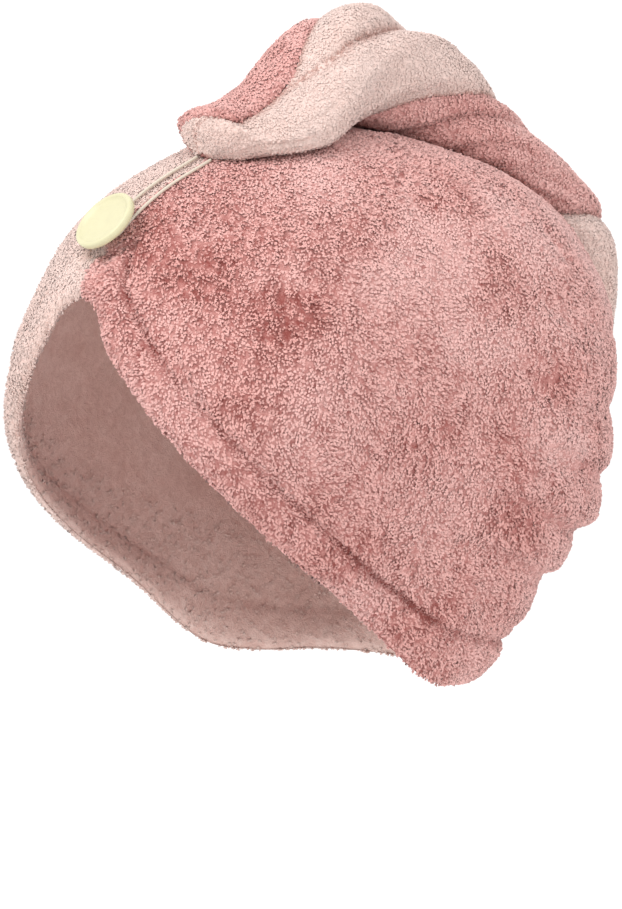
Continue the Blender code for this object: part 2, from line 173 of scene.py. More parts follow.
# Swags of spare cloth behind the ears:
# azimuth where it fades in, its elevation there, elevation behind the ear and at the back,
# height as a share of FOLD_HEIGHT, half width in degrees
FOLDS = np.array([
    [104, 26, 10, 0, 0.30, 8],
    [98, 11, -4, -10, 0.45, 7.5],
    [94, -6, -17, -22, 0.80, 7],
    [88, -21, -28, -31, 1.20, 5.8],
    [84, -33, -38, -40, 0.80, 5],
    [78, -43, -48, -50, 0.45, 4.8],
])

# Creases in the rose side, each a bow through three places given as azimuth and elevation:
# start, middle, end, then depth as a share of CREASE_DEPTH and half width in millimetres
CREASES = np.array([
    [130.5, 31, 131, 23.7, 131.8, 14.8, 0.55, 3],
    [116.2, 17.2, 121.4, 11.2, 127.8, 3.6, 0.50, 3],
    [106.9, 5.1, 115, -5, 129.2, -9.8, 0.60, 3],
    [113.9, -20.6, 118, -25.4, 127.5, -29.6, 1.00, 3.2],
    [91.4, -40.5, 102.3, -44.6, 116, -48, 0.90, 3],
    [71.9, -25.7, 77, -31, 82.4, -36.3, 0.35, 3.5],
    [25.2, 7, 30, -0.5, 35, -7.7, 0.60, 1.8],
    [60, -27, 72, -36, 84, -41, 0.40, 2.5],
])

# Patches of the near side's pile: azimuth, elevation, half width, half height, all in degrees,
# then how far it is brushed flat and pale, from -1 to 1
PATCHES = np.array([
    [92, 30, 17, 13, 0.90],
    [64, 50, 16, 9, 0.50],
    [120, 28, 10, 13, 0.85],
    [98, 8, 12, 7, 0.55],
    [120, 8, 7, 7, 0.45],
    [144, 18, 7, 18, 0.70],
    [123, -16, 12, 4, 0.80],
    [70, 22, 10, 6, 0.45],
    [52, -2, 10, 6, 0.25],
    [50, 14, 11, 6, -0.90],
    [98, 42, 6, 4, -0.75],
    [15, 30, 7, 8, -0.65],
    [30, 22, 10, 8, -0.70],
    [119, -3, 7, 5, -0.75],
    [42, -8, 9, 8, -0.50],
    [80, -15, 15, 8, -0.45],
    [130, -14, 4, 6, -0.60],
    [159, 14, 6, 18, -0.90],
    [64, -38, 16, 6, -0.60],
    [92, -51, 16, 4, -0.50],
    [104, -18, 8, 6, -0.40],
    [113, -31, 9, 5, -0.55],
])

# Tail by station. Angle in degrees, 0 level at the back, 90 over the crown and 180 level in front;
# thickness and half width as shares of the named sizes; then four lines along the tail, each as the
# angle in degrees from the top of its section towards +X: where rose gives way to pink, where pink
# gives way to rose, and a crease in each colour; last the sidestep as a share of TAIL_SIDESTEP
# angle, thickness, half_width, to_pink, to_rose, rose_crease, pink_crease, sidestep
TAIL_ROWS = np.array([
    [-22, 0.05, 0.30, -50, -125, -80, -150, 0.35],
    [-14, 0.16, 0.62, -45, -120, -75, -150, 0.35],
    [-5, 0.29, 0.85, -35, -110, -70, -150, 0.35],
    [5, 0.44, 0.98, -20, -92, -55, -140, 0.35],
    [17, 0.70, 1.04, 15, -60, -15, -120, 0.35],
    [21, 0.71, 1.04, 60, -48, -5, -112, 0.35],
    [25, 0.70, 1.04, 125, -36, 4, -102, 0.35],
    [31, 0.66, 1.05, 162, -16, 18, -90, 0.35],
    [45, 0.76, 1.05, 172, 20, 62, -50, 0.40],
    [59, 0.97, 1.07, 208, 88, 124, -18, 0.50],
    [70, 1.05, 1.10, 262, 118, 170, 12, 0.65],
    [80, 1.06, 1.14, 316, 140, 230, 44, 0.80],
    [87, 0.94, 1.22, 350, 152, 262, 47, 0.95],
    [92, 0.74, 1.28, 362, 156, 285, 40, 1.10],
    [97, 0.56, 1.30, 374, 158, 300, 30, 1.22],
    [102, 0.43, 1.30, 382, 160, 310, 24, 1.30],
    [108, 0.36, 1.24, 391, 162, 320, 30, 1.30],
    [111.5, 0.35, 1.18, 396, 162, 310, 34, 1.28],
    [114, 0.36, 1.10, 403, 162, 300, 42, 1.25],
    [117, 0.38, 0.98, 403, 166, 290, 44, 1.22],
    [119.2, 0.35, 0.82, 325, 172, 255, 0, 1.20],
    [121.6, 0.22, 0.60, 255, 176, 215, -20, 1.20],
    [123.4, 0.06, 0.24, 225, 176, 200, -20, 1.20],
])
SEAM_CREASE = (0.21, 52.0)    # depth as a share of the section, half width in degrees
ROSE_CREASE = (0.20, 38.0)
PINK_CREASE = (0.28, 36.0)

# In each pile's colours the first is painted shade, for the depths between and under the tufts; then
# come the tufts' tips and the paler colour of pile brushed flat.
ROSE_PAINTED_SHADE = (0.26, 0.065, 0.055)
ROSE_TIP = (0.72, 0.365, 0.33)
ROSE_PALE = (0.80, 0.475, 0.44)
PINK_PAINTED_SHADE = (0.50, 0.285, 0.24)
PINK_TIP = (0.74, 0.54, 0.48)
PINK_PALE = (0.77, 0.595, 0.54)
IVORY = (0.57, 0.535, 0.34)
CREAM = (0.66, 0.58, 0.48)
FLOOR_WHITE = (0.90, 0.90, 0.90)


def through(x, stations, values):
    """Cubic through the rows of a table, with the slope at each row taken from its neighbours."""
    slopes = np.gradient(values, stations)
    x = np.clip(x, stations[0], stations[-1])
    row = np.clip(np.searchsorted(stations, x, side="right") - 1, 0, len(stations) - 2)
    span = stations[row + 1] - stations[row]
    t = (x - stations[row]) / span
    rise = (3.0 - 2.0 * t) * t * t
    start = values[row] * (1.0 - rise) + slopes[row] * span * t * (1.0 - t) ** 2
    end = values[row + 1] * rise - slopes[row + 1] * span * t * t * (1.0 - t)
    return start + end


def ease(t):
    """0 below 0, 1 above 1, and a level-ended cubic between."""
    t = np.clip(t, 0.0, 1.0)
    return t * t * (3.0 - 2.0 * t)


def unit(vectors):
    """The vectors at length 1."""
    return vectors / np.maximum(np.linalg.norm(vectors, axis=-1, keepdims=True), 1e-12)


def lattice(cell, seed):
    """A number from -1 to 1 for each whole-numbered place, by mixing the bits of its three counts."""
    mixed = (cell[..., 0] * 374761393 + cell[..., 1] * 668265263
             + cell[..., 2] * 1440662683 + seed * 974711) & 0x7FFFFFFF
    mixed = ((mixed ^ (mixed >> 13)) * 1274126177) & 0x7FFFFFFF
    mixed = mixed ^ (mixed >> 16)
    return (mixed & 0xFFFF) / 32767.5 - 1.0


def cloud(points, size, seed):
    """Smooth noise from -1 to 1: the lattice's numbers eased between the corners of each cell."""
    place = points / size
    low = np.floor(place).astype(np.int64)
    t = ease(place - low)
    total = np.zeros(points.shape[:-1])
    for corner in np.ndindex(2, 2, 2):
        pick = np.array(corner)
        weight = np.prod(np.where(pick == 1, t, 1.0 - t), -1)
        total += weight * lattice(low + pick, seed)
    return total


def plain_reach(azimuth, elevation):
    """Reach without folds: each named reach times its share, joined round by a cubic in azimuth."""
    turn = np.abs((azimuth + 180.0) % 360.0 - 180.0)
    heights = np.append(REACH_ROWS[:, 0], 90.0)
    crown = CROWN_DROP + PILE_WALL
    around = [through(elevation, heights, np.append(REACH_ROWS[:, k + 1] * NAMED_REACHES[k], crown))
              for k in range(5)]
    slopes = [np.zeros_like(turn)]
    for k in (1, 2, 3):
        slopes.append((around[k + 1] - around[k - 1]) / (AZIMUTHS[k + 1] - AZIMUTHS[k - 1]))
    slopes.append(np.zeros_like(turn))
    reach = np.zeros_like(turn)
    for k in range(4):
        span = AZIMUTHS[k + 1] - AZIMUTHS[k]
        t = (turn - AZIMUTHS[k]) / span
        rise = (3.0 - 2.0 * t) * t * t
        part = (around[k] * (1.0 - rise) + slopes[k] * span * t * (1.0 - t) ** 2
                + around[k + 1] * rise - slopes[k + 1] * span * t * t * (1.0 - t))
        inside = (t >= 0.0) & ((t < 1.0) | (k == 3))
        reach = np.where(inside, part, reach)
    return reach


def fold_height(azimuth, elevation):
    """Sum of the swags: each a round roll, steeper below, along a path that sinks to the back."""
    turn = np.abs((azimuth + 180.0) % 360.0 - 180.0)
    height = np.zeros_like(turn)
    for start, high, hind, back, share, half_width in FOLDS:
        crest = np.where(turn < 140.0,
                         high + (hind - high) * ease((turn - start) / (140.0 - start)),
                         hind + (back - hind) * ease((turn - 140.0) / 40.0))
        across = (elevation - crest) / half_width
        across = np.where(across < 0.0, across * 1.9, across * 0.8)
        roll = np.clip(1.0 - across * across, 0.0, 1.0)
        height += FOLD_HEIGHT * share * roll * ease((turn - start) / 34.0)
    return height


def crease_depth(azimuth, elevation):
    """Sum of the creases: each a groove along a bow through three places, shallow at its ends, with
    a low lip on its upper side."""
    turn = np.abs((azimuth + 180.0) % 360.0 - 180.0)
    depth = np.zeros_like(turn)
    millimetres = np.radians(1.0) * 112.0
    t = np.linspace(0.0, 1.0, 25)
    for a0, e0, a1, e1, a2, e2, share, width in CREASES:
        bow_a = a0 * (1 - t) * (1 - 2 * t) + a1 * 4 * t * (1 - t) + a2 * t * (2 * t - 1)
        bow_e = e0 * (1 - t) * (1 - 2 * t) + e1 * 4 * t * (1 - t) + e2 * t * (2 * t - 1)
        near = np.full(turn.shape, 1e9)
        along = np.zeros_like(turn)
        above = np.zeros_like(turn)
        for k in range(len(t)):
            east = (turn - bow_a[k]) * np.cos(np.radians(bow_e[k])) * millimetres
            north = (elevation - bow_e[k]) * millimetres
            apart = np.hypot(east, north)
            closer = apart < near
            near = np.where(closer, apart, near)
            along = np.where(closer, t[k], along)
            above = np.where(closer, north, above)
        fade = ease(along * 4.0) * ease((1.0 - along) * 4.0)
        groove = np.exp(-(near / width) ** 2)
        lip = 0.35 * np.exp(-((near - 2.2 * width) / (1.3 * width)) ** 2) * (above > 0.0)
        depth += CREASE_DEPTH * share * fade * (groove - lip)
    return depth


def reach(azimuth, elevation):
    """Reach with the swags added and the creases taken off."""
    return (plain_reach(azimuth, elevation) + fold_height(azimuth, elevation)
            - crease_depth(azimuth, elevation))


def directions(azimuth, elevation):
    """Unit vectors outwards, up and round at an azimuth from the forehead and an elevation."""
    a, e = np.radians(azimuth), np.radians(elevation)
    out = np.stack([np.sin(a) * np.cos(e), -np.cos(a) * np.cos(e), np.sin(e)], -1)
    up = np.stack([-np.sin(a) * np.sin(e), np.cos(a) * np.sin(e), np.cos(e)], -1)
    around = np.stack([np.cos(a), np.sin(a), np.zeros_like(a)], -1)
    return out, up, around


def hood_normal(azimuth, elevation, surface=reach):
    """Outward normal of the hood, from the reach's slopes over half a degree each way."""
    out, up, around = directions(azimuth, elevation)
    step = np.radians(0.5)
    here = surface(azimuth, elevation)
    rise = surface(azimuth, np.minimum(elevation + 0.5, 90.0)) - surface(azimuth, elevation - 0.5)
    swing = surface(azimuth + 0.5, elevation) - surface(azimuth - 0.5, elevation)
    rise, swing = rise / (2.0 * step), swing / (2.0 * step)
    level = np.maximum(np.cos(np.radians(elevation)), 0.05)
    return unit(out - up * (rise / here)[..., None] - around * (swing / (here * level))[..., None])


def hood_point(azimuth, elevation, above=0.0, surface=reach):
    """Point at a distance above the hood's outside, along its normal."""
    out = directions(azimuth, elevation)[0]
    foot = CENTRE + out * surface(azimuth, elevation)[..., None]
    return foot + hood_normal(azimuth, elevation, surface) * np.asarray(above)[..., None]


def hem_elevation(azimuth):
    """Elevation of the hood's lower edge."""
    return through(azimuth, HEM_LINE[:, 0], HEM_LINE[:, 1])


def seam_azimuth(elevation):
    """Azimuth of the front seam, from its sidestep over the reach's level length."""
    across = through(elevation, SEAM_ROWS[:, 0], SEAM_ROWS[:, 1]) * SEAM_SIDESTEP
    level = plain_reach(0.0 * elevation, elevation) * np.maximum(np.cos(np.radians(elevation)), 0.05)
    return np.degrees(np.arcsin(across / level))


def brushed(azimuth, elevation, points, near_side):
    """How flat and pale the pile lies, from 0 to 1: the named patches on the near side, and noise."""
    lie = 0.5 + 0.22 * cloud(points, 0.034, 11) + 0.16 * cloud(points, 0.013, 12)
    if near_side:
        for a, e, wide, high, flat in PATCHES:
            away = np.hypot((azimuth - a) / wide, (elevation - e) / high)
            away = away + 0.30 * cloud(points, 0.011, 13)
            lie = lie + 0.58 * flat * (1.0 - ease(away - 0.35))
    return np.clip(lie, 0.0, 1.0)


def grid_normals(points):
    """Unit normals of a grid of points, from the slopes along its rows and its columns."""
    along = np.gradient(points, axis=0)
    across = np.gradient(points, axis=1)
    return unit(np.cross(along, across))


def placed(name, data):
    """A new object in the scene."""
    made = bpy.data.objects.new(name, data)
    bpy.context.collection.objects.link(made)
    return made


def tube(count, ring):
    """Numbers of a grid's points, and the quads between its rows, each of which closes on itself."""
    number = np.arange(count * ring).reshape(count, ring)
    following = np.roll(number, -1, 1)
    quads = np.stack([number[:-1], following[:-1], following[1:], number[1:]], -1)
    return number, quads.reshape(-1, 4)


def piece(name, points, faces, finish, stands_for=(), painted_shade=None, tone=None, unwrapped=None,
          facing=None):
    """A mesh from an array of points and a list of arrays of faces, one for each count of corners."""
    loops = np.concatenate([f.ravel() for f in faces]).astype(np.int32)
    sizes = np.concatenate([np.full(len(f), f.shape[1], np.int32) for f in faces])
    starts = np.concatenate([[0], np.cumsum(sizes)[:-1]]).astype(np.int32)
    mesh = bpy.data.meshes.new(name)
    mesh.vertices.add(len(points))
    mesh.vertices.foreach_set("co", points.astype(np.float32).ravel())
    mesh.loops.add(len(loops))
    mesh.loops.foreach_set("vertex_index", loops)
    mesh.polygons.add(len(sizes))
    mesh.polygons.foreach_set("loop_start", starts)
    mesh.update(calc_edges=True)
    # The first attribute is painted shade: low deep between and under the tufts, high at their tips;
    # tone is how flat and pale the pile lies.
    for label, values in (("painted_shade", painted_shade), ("tone", tone)):
        if values is not None:
            layer = mesh.attributes.new(label, "FLOAT", "POINT")
            layer.data.foreach_set("value", values.astype(np.float32).ravel())
    if unwrapped is not None:
        layer = mesh.uv_layers.new(name="OFBake").uv
        layer.foreach_set("vector", unwrapped.astype(np.float32).ravel())
    mesh.polygons.foreach_set("use_smooth", np.full(len(sizes), True))
    mesh.materials.append(finish)
    if facing is not None:
        mesh.normals_split_custom_set_from_vertices(facing)
    made = placed(name, mesh)
    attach(made, "root")
    if stands_for:
        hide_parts(*stands_for)
    return made


def panel_side(side, columns, rows, offset_column, shift, surface):
    """One side of a panel as a grid, from the hem's edge up to the crown.

    side is 1 for the wearer's left and -1 for the right. Azimuth counts from the front seam, whose
    own swing is added in full there and fades to nothing at a quarter turn. The hem's section is its
    table's cubic, times PILE_WALL, off the surface along its normal; over the hem the rows widen
    towards the crown. shift moves the whole side along the normal.
    """
    azimuth = panel_azimuths(columns)
    hem = hem_elevation(azimuth)
    lean = np.hypot(1.0, np.gradient(hem, azimuth) / np.cos(np.radians(hem)))
    band = np.degrees(HEM_DEPTH * lean / surface(azimuth, hem))
    heights = np.linspace(0.0, 1.0, HEM_ROWS) ** 1.3 * HEM_SECTION[-1, 0]
    section = through(heights, HEM_SECTION[:, 0], HEM_SECTION[:, offset_column]) * PILE_WALL
    if offset_column == 2:
        section = -section
    top = hem + HEM_SECTION[-1, 0] * band
    climb = (np.arange(1, rows + 1) / rows) ** 1.15
    elevation = np.concatenate([hem[:, None] + band[:, None] * heights[None, :],
                                top[:, None] + (90.0 - top)[:, None] * climb[None, :]], 1)
    offset = np.concatenate([section, np.full(rows, section[-1])]) + shift
    swing = seam_azimuth(elevation) * np.clip(1.0 - azimuth / 90.0, 0.0, 1.0)[:, None]
    around = side * azimuth[:, None] + swing
    points = hood_point(around, elevation, offset + 0.0 * elevation, surface)
    points[-1, :, 0] = 0.0
    points[:, -1] = points[-1, -1]
    points[:, :, 0] += side * SEAM_GAP / 2.0
    return points, around, elevation


def panel_azimuths(columns):
    """Azimuths of a panel's columns, closer together at the front and back seams."""
    azimuth = np.linspace(0.0, 180.0, columns + 1)
    return azimuth - 9.0 * np.sin(np.radians(azimuth))


def hood_panel(name, side, finish, columns, rows):
    """One half of the hood as a closed shell: the knitted ground outside and the pile inside."""
    outside, around, elevation = panel_side(side, columns, rows, 1, -GROUND_DEPTH, reach)
    inside = panel_side(side, columns, rows, 2, 0.0, plain_reach)[0]
    azimuth = panel_azimuths(columns)
    inland = (ease(np.minimum(azimuth, 180.0 - azimuth) / 3.0)[:, None]
              * ease((90.0 - elevation) / 3.0))
    rough = 0.0004 * cloud(outside, 0.0022, 21) * inland
    outside = outside + side * grid_normals(outside) * rough[..., None]
    lie_out = brushed(around, elevation, outside, side > 0.0)
    # Painted shade of the ground between the tufts: darker where the pile stands rough, in clump pits
    # and along the hem's stitch line, lighter and calmer on the pink panel; inside, a level with
    # noise.
    calm = 0.0 if side > 0.0 else 0.3
    painted_shade_out = 0.50 + calm - (0.28 - calm * 0.6) * (1.0 - lie_out)
    painted_shade_out = painted_shade_out + (0.20 - calm * 0.4) * clumps(outside) - 0.35 * stitched(outside)
    lie_in = 0.45 + 0.3 * cloud(inside, 0.02, 23)
    painted_shade_in = 0.62 + 0.2 * cloud(inside, 0.003, 24)
    loops = np.concatenate([outside, inside[:, ::-1]], 1)
    tone = np.concatenate([lie_out, lie_in[:, ::-1]], 1)
    painted_shade = np.concatenate([painted_shade_out, painted_shade_in[:, ::-1]], 1)
    number, quads = tube(*loops.shape[:2])
    half = number.shape[1] // 2
    caps = []
    for column, turn in ((0, 1), (-1, -1)):
        out_rows = number[column, :half]
        in_rows = number[column, half:][::-1]
        cap = np.stack([out_rows[:-1], out_rows[1:], in_rows[1:], in_rows[:-1]], -1)
        caps.append(cap[:, ::turn])
    faces = np.concatenate([quads] + caps)
    if side < 0.0:
        faces = faces[:, ::-1]
    tidy(piece(name, loops.reshape(-1, 3), [faces], finish, (name,), painted_shade, tone))


def tidy(made):
    """Merge the points that meet at poles and edges, and turn all faces the same way. That way is
    outwards, but inwards on the two hood panels."""
    work = bmesh.new()
    work.from_mesh(made.data)
    bmesh.ops.remove_doubles(work, verts=work.verts, dist=2e-6)
    bmesh.ops.dissolve_degenerate(work, edges=work.edges, dist=1e-7)
    bmesh.ops.recalc_face_normals(work, faces=work.faces)
    work.to_mesh(made.data)
    work.free()


def sow(points, spacing, draws):
    """Places on a grid, one for each spacing squared of its surface, in the grid's own order."""
    along = points[1:, :-1] - points[:-1, :-1]
    across = points[:-1, 1:] - points[:-1, :-1]
    area = np.linalg.norm(np.cross(along, across), axis=-1).ravel()
    total = np.cumsum(area)
    count = int(total[-1] / spacing ** 2)
    aim = (np.arange(count) + draws.random(count)) * (total[-1] / count)
    quad = np.minimum(np.searchsorted(total, aim), len(area) - 1)
    row, column = np.divmod(quad, points.shape[1] - 1)
    return row, column, draws.random(count), draws.random(count)


def at(grid, row, column, u, v):
    """The grid's values between the four corners of each quad."""
    if grid.ndim == 3:
        u, v = u[:, None], v[:, None]
    return ((grid[row, column] * (1 - u) + grid[row + 1, column] * u) * (1 - v)
            + (grid[row, column + 1] * (1 - u) + grid[row + 1, column + 1] * u) * v)


def clumps(points):
    """Noise from -1 to 1 whose patches are the clumps of the pile, longer up and down than across."""
    return cloud(points * np.array([1.0, 1.0, CLUMP_HEIGHT]), CLUMP_SIZE, 33)


def clump_slope(points):
    """Direction in which the clumps rise, as a vector of about unit length, from noise a third of a
    clump either way along each axis."""
    step = CLUMP_SIZE / 3.0
    rises = [clumps(points + np.eye(3)[k] * step) - clumps(points - np.eye(3)[k] * step)
             for k in range(3)]
    return np.stack(rises, -1)


def cells(count):
    """A square cell of the unit square for each tuft, its six faces laid out as a strip of three
    columns: the root's faces in the lower half and the tip's in the upper half."""
    across = int(np.ceil(np.sqrt(count)))
    number = np.arange(count)
    corner = np.stack([number % across, number // across], -1)[:, None, :]
    faces = []
    for k in range(3):
        left, middle, right = k / 3.0, (k + 0.5) / 3.0, (k + 1.0) / 3.0
        faces.append(np.array([[middle, 0.0], [right, 0.5], [left, 0.5]]))
        faces.append(np.array([[middle, 1.0], [left, 0.5], [right, 0.5]]))
    return np.concatenate([(corner + (0.06 + 0.88 * face)[None]) / across for face in faces])


def tuft_faces(count):
    """Six triangles for each tuft of five points: three from its root and three from its tip."""
    first = np.arange(count)[:, None] * 5
    faces = []
    for k in range(3):
        after = (k + 1) % 3
        faces.append(first + np.array([[0, 1 + after, 1 + k]]))
        faces.append(first + np.array([[4, 1 + k, 1 + after]]))
    return np.concatenate(faces)


def tufts(name, roots, normals, comb, lie, wild, length, width, sunk, free, finish, draws):
    """Pile as blunt closed tufts: a root under the ground, a ring of three corners past the middle
    and a tip. A tuft leans from the normal along the combed direction, more where the pile lies
    flat, and towards the middle of its clump, so that pits open between clumps. wild is how
    strongly the pile is broken into clumps, from 0 to 1. sunk is how far a place is down in a
    groove, where painted shade darkens the pile, and free how far it stands at an edge, where a
    tuft is lit by its own form alone and elsewhere mostly by the cloth's. Each tuft carries
    painted shade, darkest at its root and in the pits between clumps."""
    rough = wild * (1.06 - lie)
    heap = clumps(roots)
    grown = heap > -0.66 - 0.8 * (1.0 - rough)
    roots, normals, comb, lie, rough, heap, length, sunk, free = (
        v[grown] for v in (roots, normals, comb, lie, rough, heap, length, sunk, free))
    count = len(roots)
    comb = unit(comb - normals * np.sum(comb * normals, 1, keepdims=True))
    side = np.cross(normals, comb)
    swirl = 1.3 * cloud(roots, 0.016, 31) + 1.1 * cloud(roots, 0.005, 32)
    swirl = swirl + (0.25 + 0.35 * rough) * draws.standard_normal(count)
    nap = comb * np.cos(swirl)[:, None] + side * np.sin(swirl)[:, None]
    side = np.cross(normals, nap)
    lean = TUFT_LEAN + FLAT_LEAN * lie + CALM_LEAN * (1.0 - wild)
    lean = lean + (3.0 + 4.0 * rough) * draws.standard_normal(count)
    lean = np.radians(lean.clip(30.0, 80.0))
    pull = clump_slope(roots) * (0.9 * rough)[:, None]
    aim = unit(normals * np.cos(lean)[:, None] + nap * np.sin(lean)[:, None] + pull)
    length = length * (1.0 + 0.12 * draws.standard_normal(count)).clip(0.6, 1.5)
    length = length * (0.8 + 0.2 * wild) * (1.0 + 0.30 * rough * heap) * (1.0 - 0.18 * lie)
    width = width * (1.0 + 0.14 * draws.standard_normal(count)).clip(0.6, 1.5)
    width = width * (1.0 + 0.25 * lie)
    middle = roots + aim * (0.58 * length)[:, None]
    over = np.cross(aim, side)
    spin = draws.random(count) * 2.0 * np.pi
    corners = [roots - normals * ROOT_DEPTH]
    for k in range(3):
        turn = spin + k * 2.0 * np.pi / 3.0
        out = side * np.cos(turn)[:, None] + over * np.sin(turn)[:, None]
        corners.append(middle + out * (width * 0.5)[:, None])
    bent = unit(aim + nap * 0.35 - normals * 0.25)
    corners.append(middle + bent * (0.44 * length)[:, None])
    points = np.stack(corners, 1).reshape(-1, 3)
    # Painted shade: the root darkest, more so in rough pile and in the pits between clumps; the ring
    # and the tip lighter.
    painted_deep_shade = 0.86 - 0.62 * rough + 0.30 * heap * rough
    ring = 0.90 + rough * (0.50 * heap - 0.16)
    high = 1.00 + rough * (0.30 * heap - 0.06)
    vary = 0.05 * rough * draws.standard_normal(count)
    painted_shade = np.stack([painted_deep_shade, ring + vary, ring + vary, ring + vary, high + vary], 1)
    # Painted shade in grooves and creases, where sunk is high.
    painted_shade = (painted_shade - 0.60 * sunk[:, None]).clip(0.0, 1.2)
    tone = np.repeat((lie + 0.08 * draws.standard_normal(count))[:, None], 5, 1)
    own = np.maximum(0.08 + 0.46 * rough, 0.9 * free)[:, None]
    outward = [-aim] + [unit(corner - middle) for corner in corners[1:]]
    facing = np.stack([unit(normals * (1.0 - own) + out * own) for out in outward], 1).reshape(-1, 3)
    piece(name, points, [tuft_faces(count)], finish, (), painted_shade, tone, cells(count), facing)


def under_tail(points):
    """Whether the tail hides these places of the hood."""
    rise = points - CENTRE
    station = np.degrees(np.arctan2(rise[:, 2], rise[:, 1]))
    lines = tail_lines(station)
    inside = (station > -10.0) & (station < TAIL_ROWS[-1, 0] - 5.0)
    return inside & (np.abs(points[:, 0] - lines[6]) < lines[1] * 0.62)


def hem_band(points, height):
    """1 along a height over the hem's edge, a share of HEM_DEPTH, and 0 away from it, on the grid of
    a panel's side."""
    heights = np.linspace(0.0, 1.0, HEM_ROWS) ** 1.3 * HEM_SECTION[-1, 0]
    line = np.exp(-((heights - height) / 0.12) ** 2)
    line = np.concatenate([line, np.zeros(points.shape[1] - HEM_ROWS)])
    return np.repeat(line[None, :], len(points), 0)


def stitched(points):
    """1 along the hem's stitch line, where the thread sinks deeper in some places than in others."""
    return hem_band(points, 1.0) * np.clip(0.55 + 0.7 * cloud(points, 0.030, 51), 0.1, 1.0)


def panel_pile(name, side, finish, spacing, seed, wild, span):
    """Tufts over one panel's outside, between two shares of its way from front to back, and over
    its inside as far up as the opening shows."""
    draws = np.random.default_rng(seed)
    columns, rows = PILE_GRID
    part = slice(int(span[0] * columns), int(span[1] * columns) + 1)
    outside, around, elevation = panel_side(side, columns, rows, 1, -GROUND_DEPTH, reach)
    normals = side * grid_normals(outside)
    lie = brushed(around, elevation, outside, side > 0.0)
    outside, normals, lie, groove, edge = (
        grid[part] for grid in (outside, normals, lie, stitched(outside), hem_band(outside, 0.0)))
    row, column, u, v = sow(outside, spacing, draws)
    roots = at(outside, row, column, u, v)
    shown = ~under_tail(roots)
    row, column, u, v, roots = row[shown], column[shown], u[shown], v[shown], roots[shown]
    out = at(normals, row, column, u, v)
    flat = at(lie, row, column, u, v)
    # In the hem's groove the tufts are shorter, and sunk darkens them there with painted shade.
    sunk = at(groove, row, column, u, v)
    free = at(edge, row, column, u, v)
    length = TUFT_LENGTH * (1.0 - 0.75 * sunk)
    inside = panel_side(side, columns, rows, 2, 0.0, plain_reach)[0][part, :34]
    row, column, u, v = sow(inside, spacing * 2.2, draws)
    roots = np.concatenate([roots, at(inside, row, column, u, v)])
    out = np.concatenate([out, -side * at(grid_normals(inside), row, column, u, v)])
    flat = np.concatenate([flat, np.full(len(row), 0.35)])
    length = np.concatenate([length, np.full(len(row), TUFT_LENGTH)])
    sunk = np.concatenate([sunk, np.zeros(len(row))])
    free = np.concatenate([free, np.zeros(len(row))])
    down = np.tile([[0.0, 0.15, -1.0]], (len(roots), 1))
    tufts(name, roots, unit(out), down, flat, wild, length, spacing, sunk, free, finish, draws)


def tail_lines(station):
    """Thickness, half width, the four lines and the sidestep of the tail at each station."""
    columns = [through(station, TAIL_ROWS[:, 0], TAIL_ROWS[:, k]) for k in range(1, 8)]
    columns[0] = columns[0] * TAIL_THICKNESS
    columns[1] = columns[1] * TAIL_HALF_WIDTH
    columns[6] = columns[6] * TAIL_SIDESTEP
    return columns


def over_crown(station):
    """Azimuth and elevation of the median plane at an angle counted from the back over the crown."""
    front = station > 90.0
    return np.where(front, 0.0, 180.0), np.where(front, 180.0 - station, station)


def angles_of(rays):
    """Azimuth and elevation of rays from the centre of reach."""
    length = np.linalg.norm(rays, axis=-1)
    azimuth = np.degrees(np.arctan2(rays[..., 0], -rays[..., 1]))
    return azimuth, np.degrees(np.arcsin(np.clip(rays[..., 2] / length, -1.0, 1.0)))


def tail_seat(station, sideways):
    """Direction away from the head at a station, and how far along it the hood lies at a place
    sideways of the median plane: the reach towards that place, found in two steps."""
    angle = np.radians(station)
    away = np.stack([np.zeros_like(angle), np.cos(angle), np.sin(angle)], -1)
    distance = reach(*over_crown(station))
    for _ in range(2):
        ray = away * distance[..., None]
        ray[..., 0] = sideways
        there = reach(*angles_of(ray))
        distance = np.sqrt(np.maximum(there ** 2 - sideways ** 2, (0.5 * there) ** 2))
    return away, distance + CLEARANCE


def tail_surface(station, angle, inset=0.0):
    """Outside of the tail: an oval section, square below where it lies on the hood, with a sharp
    crease at each of its four lines and low gathers that run with the twist."""
    thickness, half_width, to_pink, to_rose, rose_line, pink_line, sidestep = tail_lines(station)
    share = np.ones_like(angle)
    creases = ((to_pink, SEAM_CREASE), (to_rose, SEAM_CREASE),
               (rose_line, ROSE_CREASE), (pink_line, PINK_CREASE))
    for line, (depth, width) in creases:
        apart = np.abs((angle - line + 180.0) % 360.0 - 180.0)
        share = share - depth * np.clip(1.0 - apart / width, 0.0, 1.0) ** 2
    turned = np.radians(angle - to_rose)
    lumps = np.stack([0.040 * np.cos(turned), 0.040 * np.sin(turned), station * 0.0006], -1)
    share = share + 0.05 * cloud(lumps, 0.014, 41) + 0.03 * cloud(lumps, 0.006, 42)
    turn = np.radians(angle)
    under = np.cos(turn) < 0.0
    square = (np.abs(np.cos(turn)) ** 4 + np.abs(np.sin(turn)) ** 4) ** (-1.0 / 4.0)
    share = share * np.where(under, square, 1.0)
    tall = np.where(under, thickness / 2.0 + GROUND_DEPTH, thickness / 2.0 - inset)
    wide = np.maximum(half_width - inset, 0.0006)
    sideways = sidestep + wide * share * np.sin(turn)
    away, seat = tail_seat(station, sideways)
    height = thickness / 2.0 + np.maximum(tall, 0.0004) * share * np.cos(turn)
    points = CENTRE + away * (seat + height)[..., None]
    points[..., 0] += sideways
    return points


def in_a_crease(station, angle):
    """1 at the bottom of the tail's four creases and 0 away from them, where painted shade darkens
    the pile.
    """
    sunk = np.zeros_like(angle)
    for line in tail_lines(station)[2:6]:
        apart = np.abs((angle - line + 180.0) % 360.0 - 180.0)
        sunk = np.maximum(sunk, np.exp(-(apart / 5.5) ** 2))
    return sunk


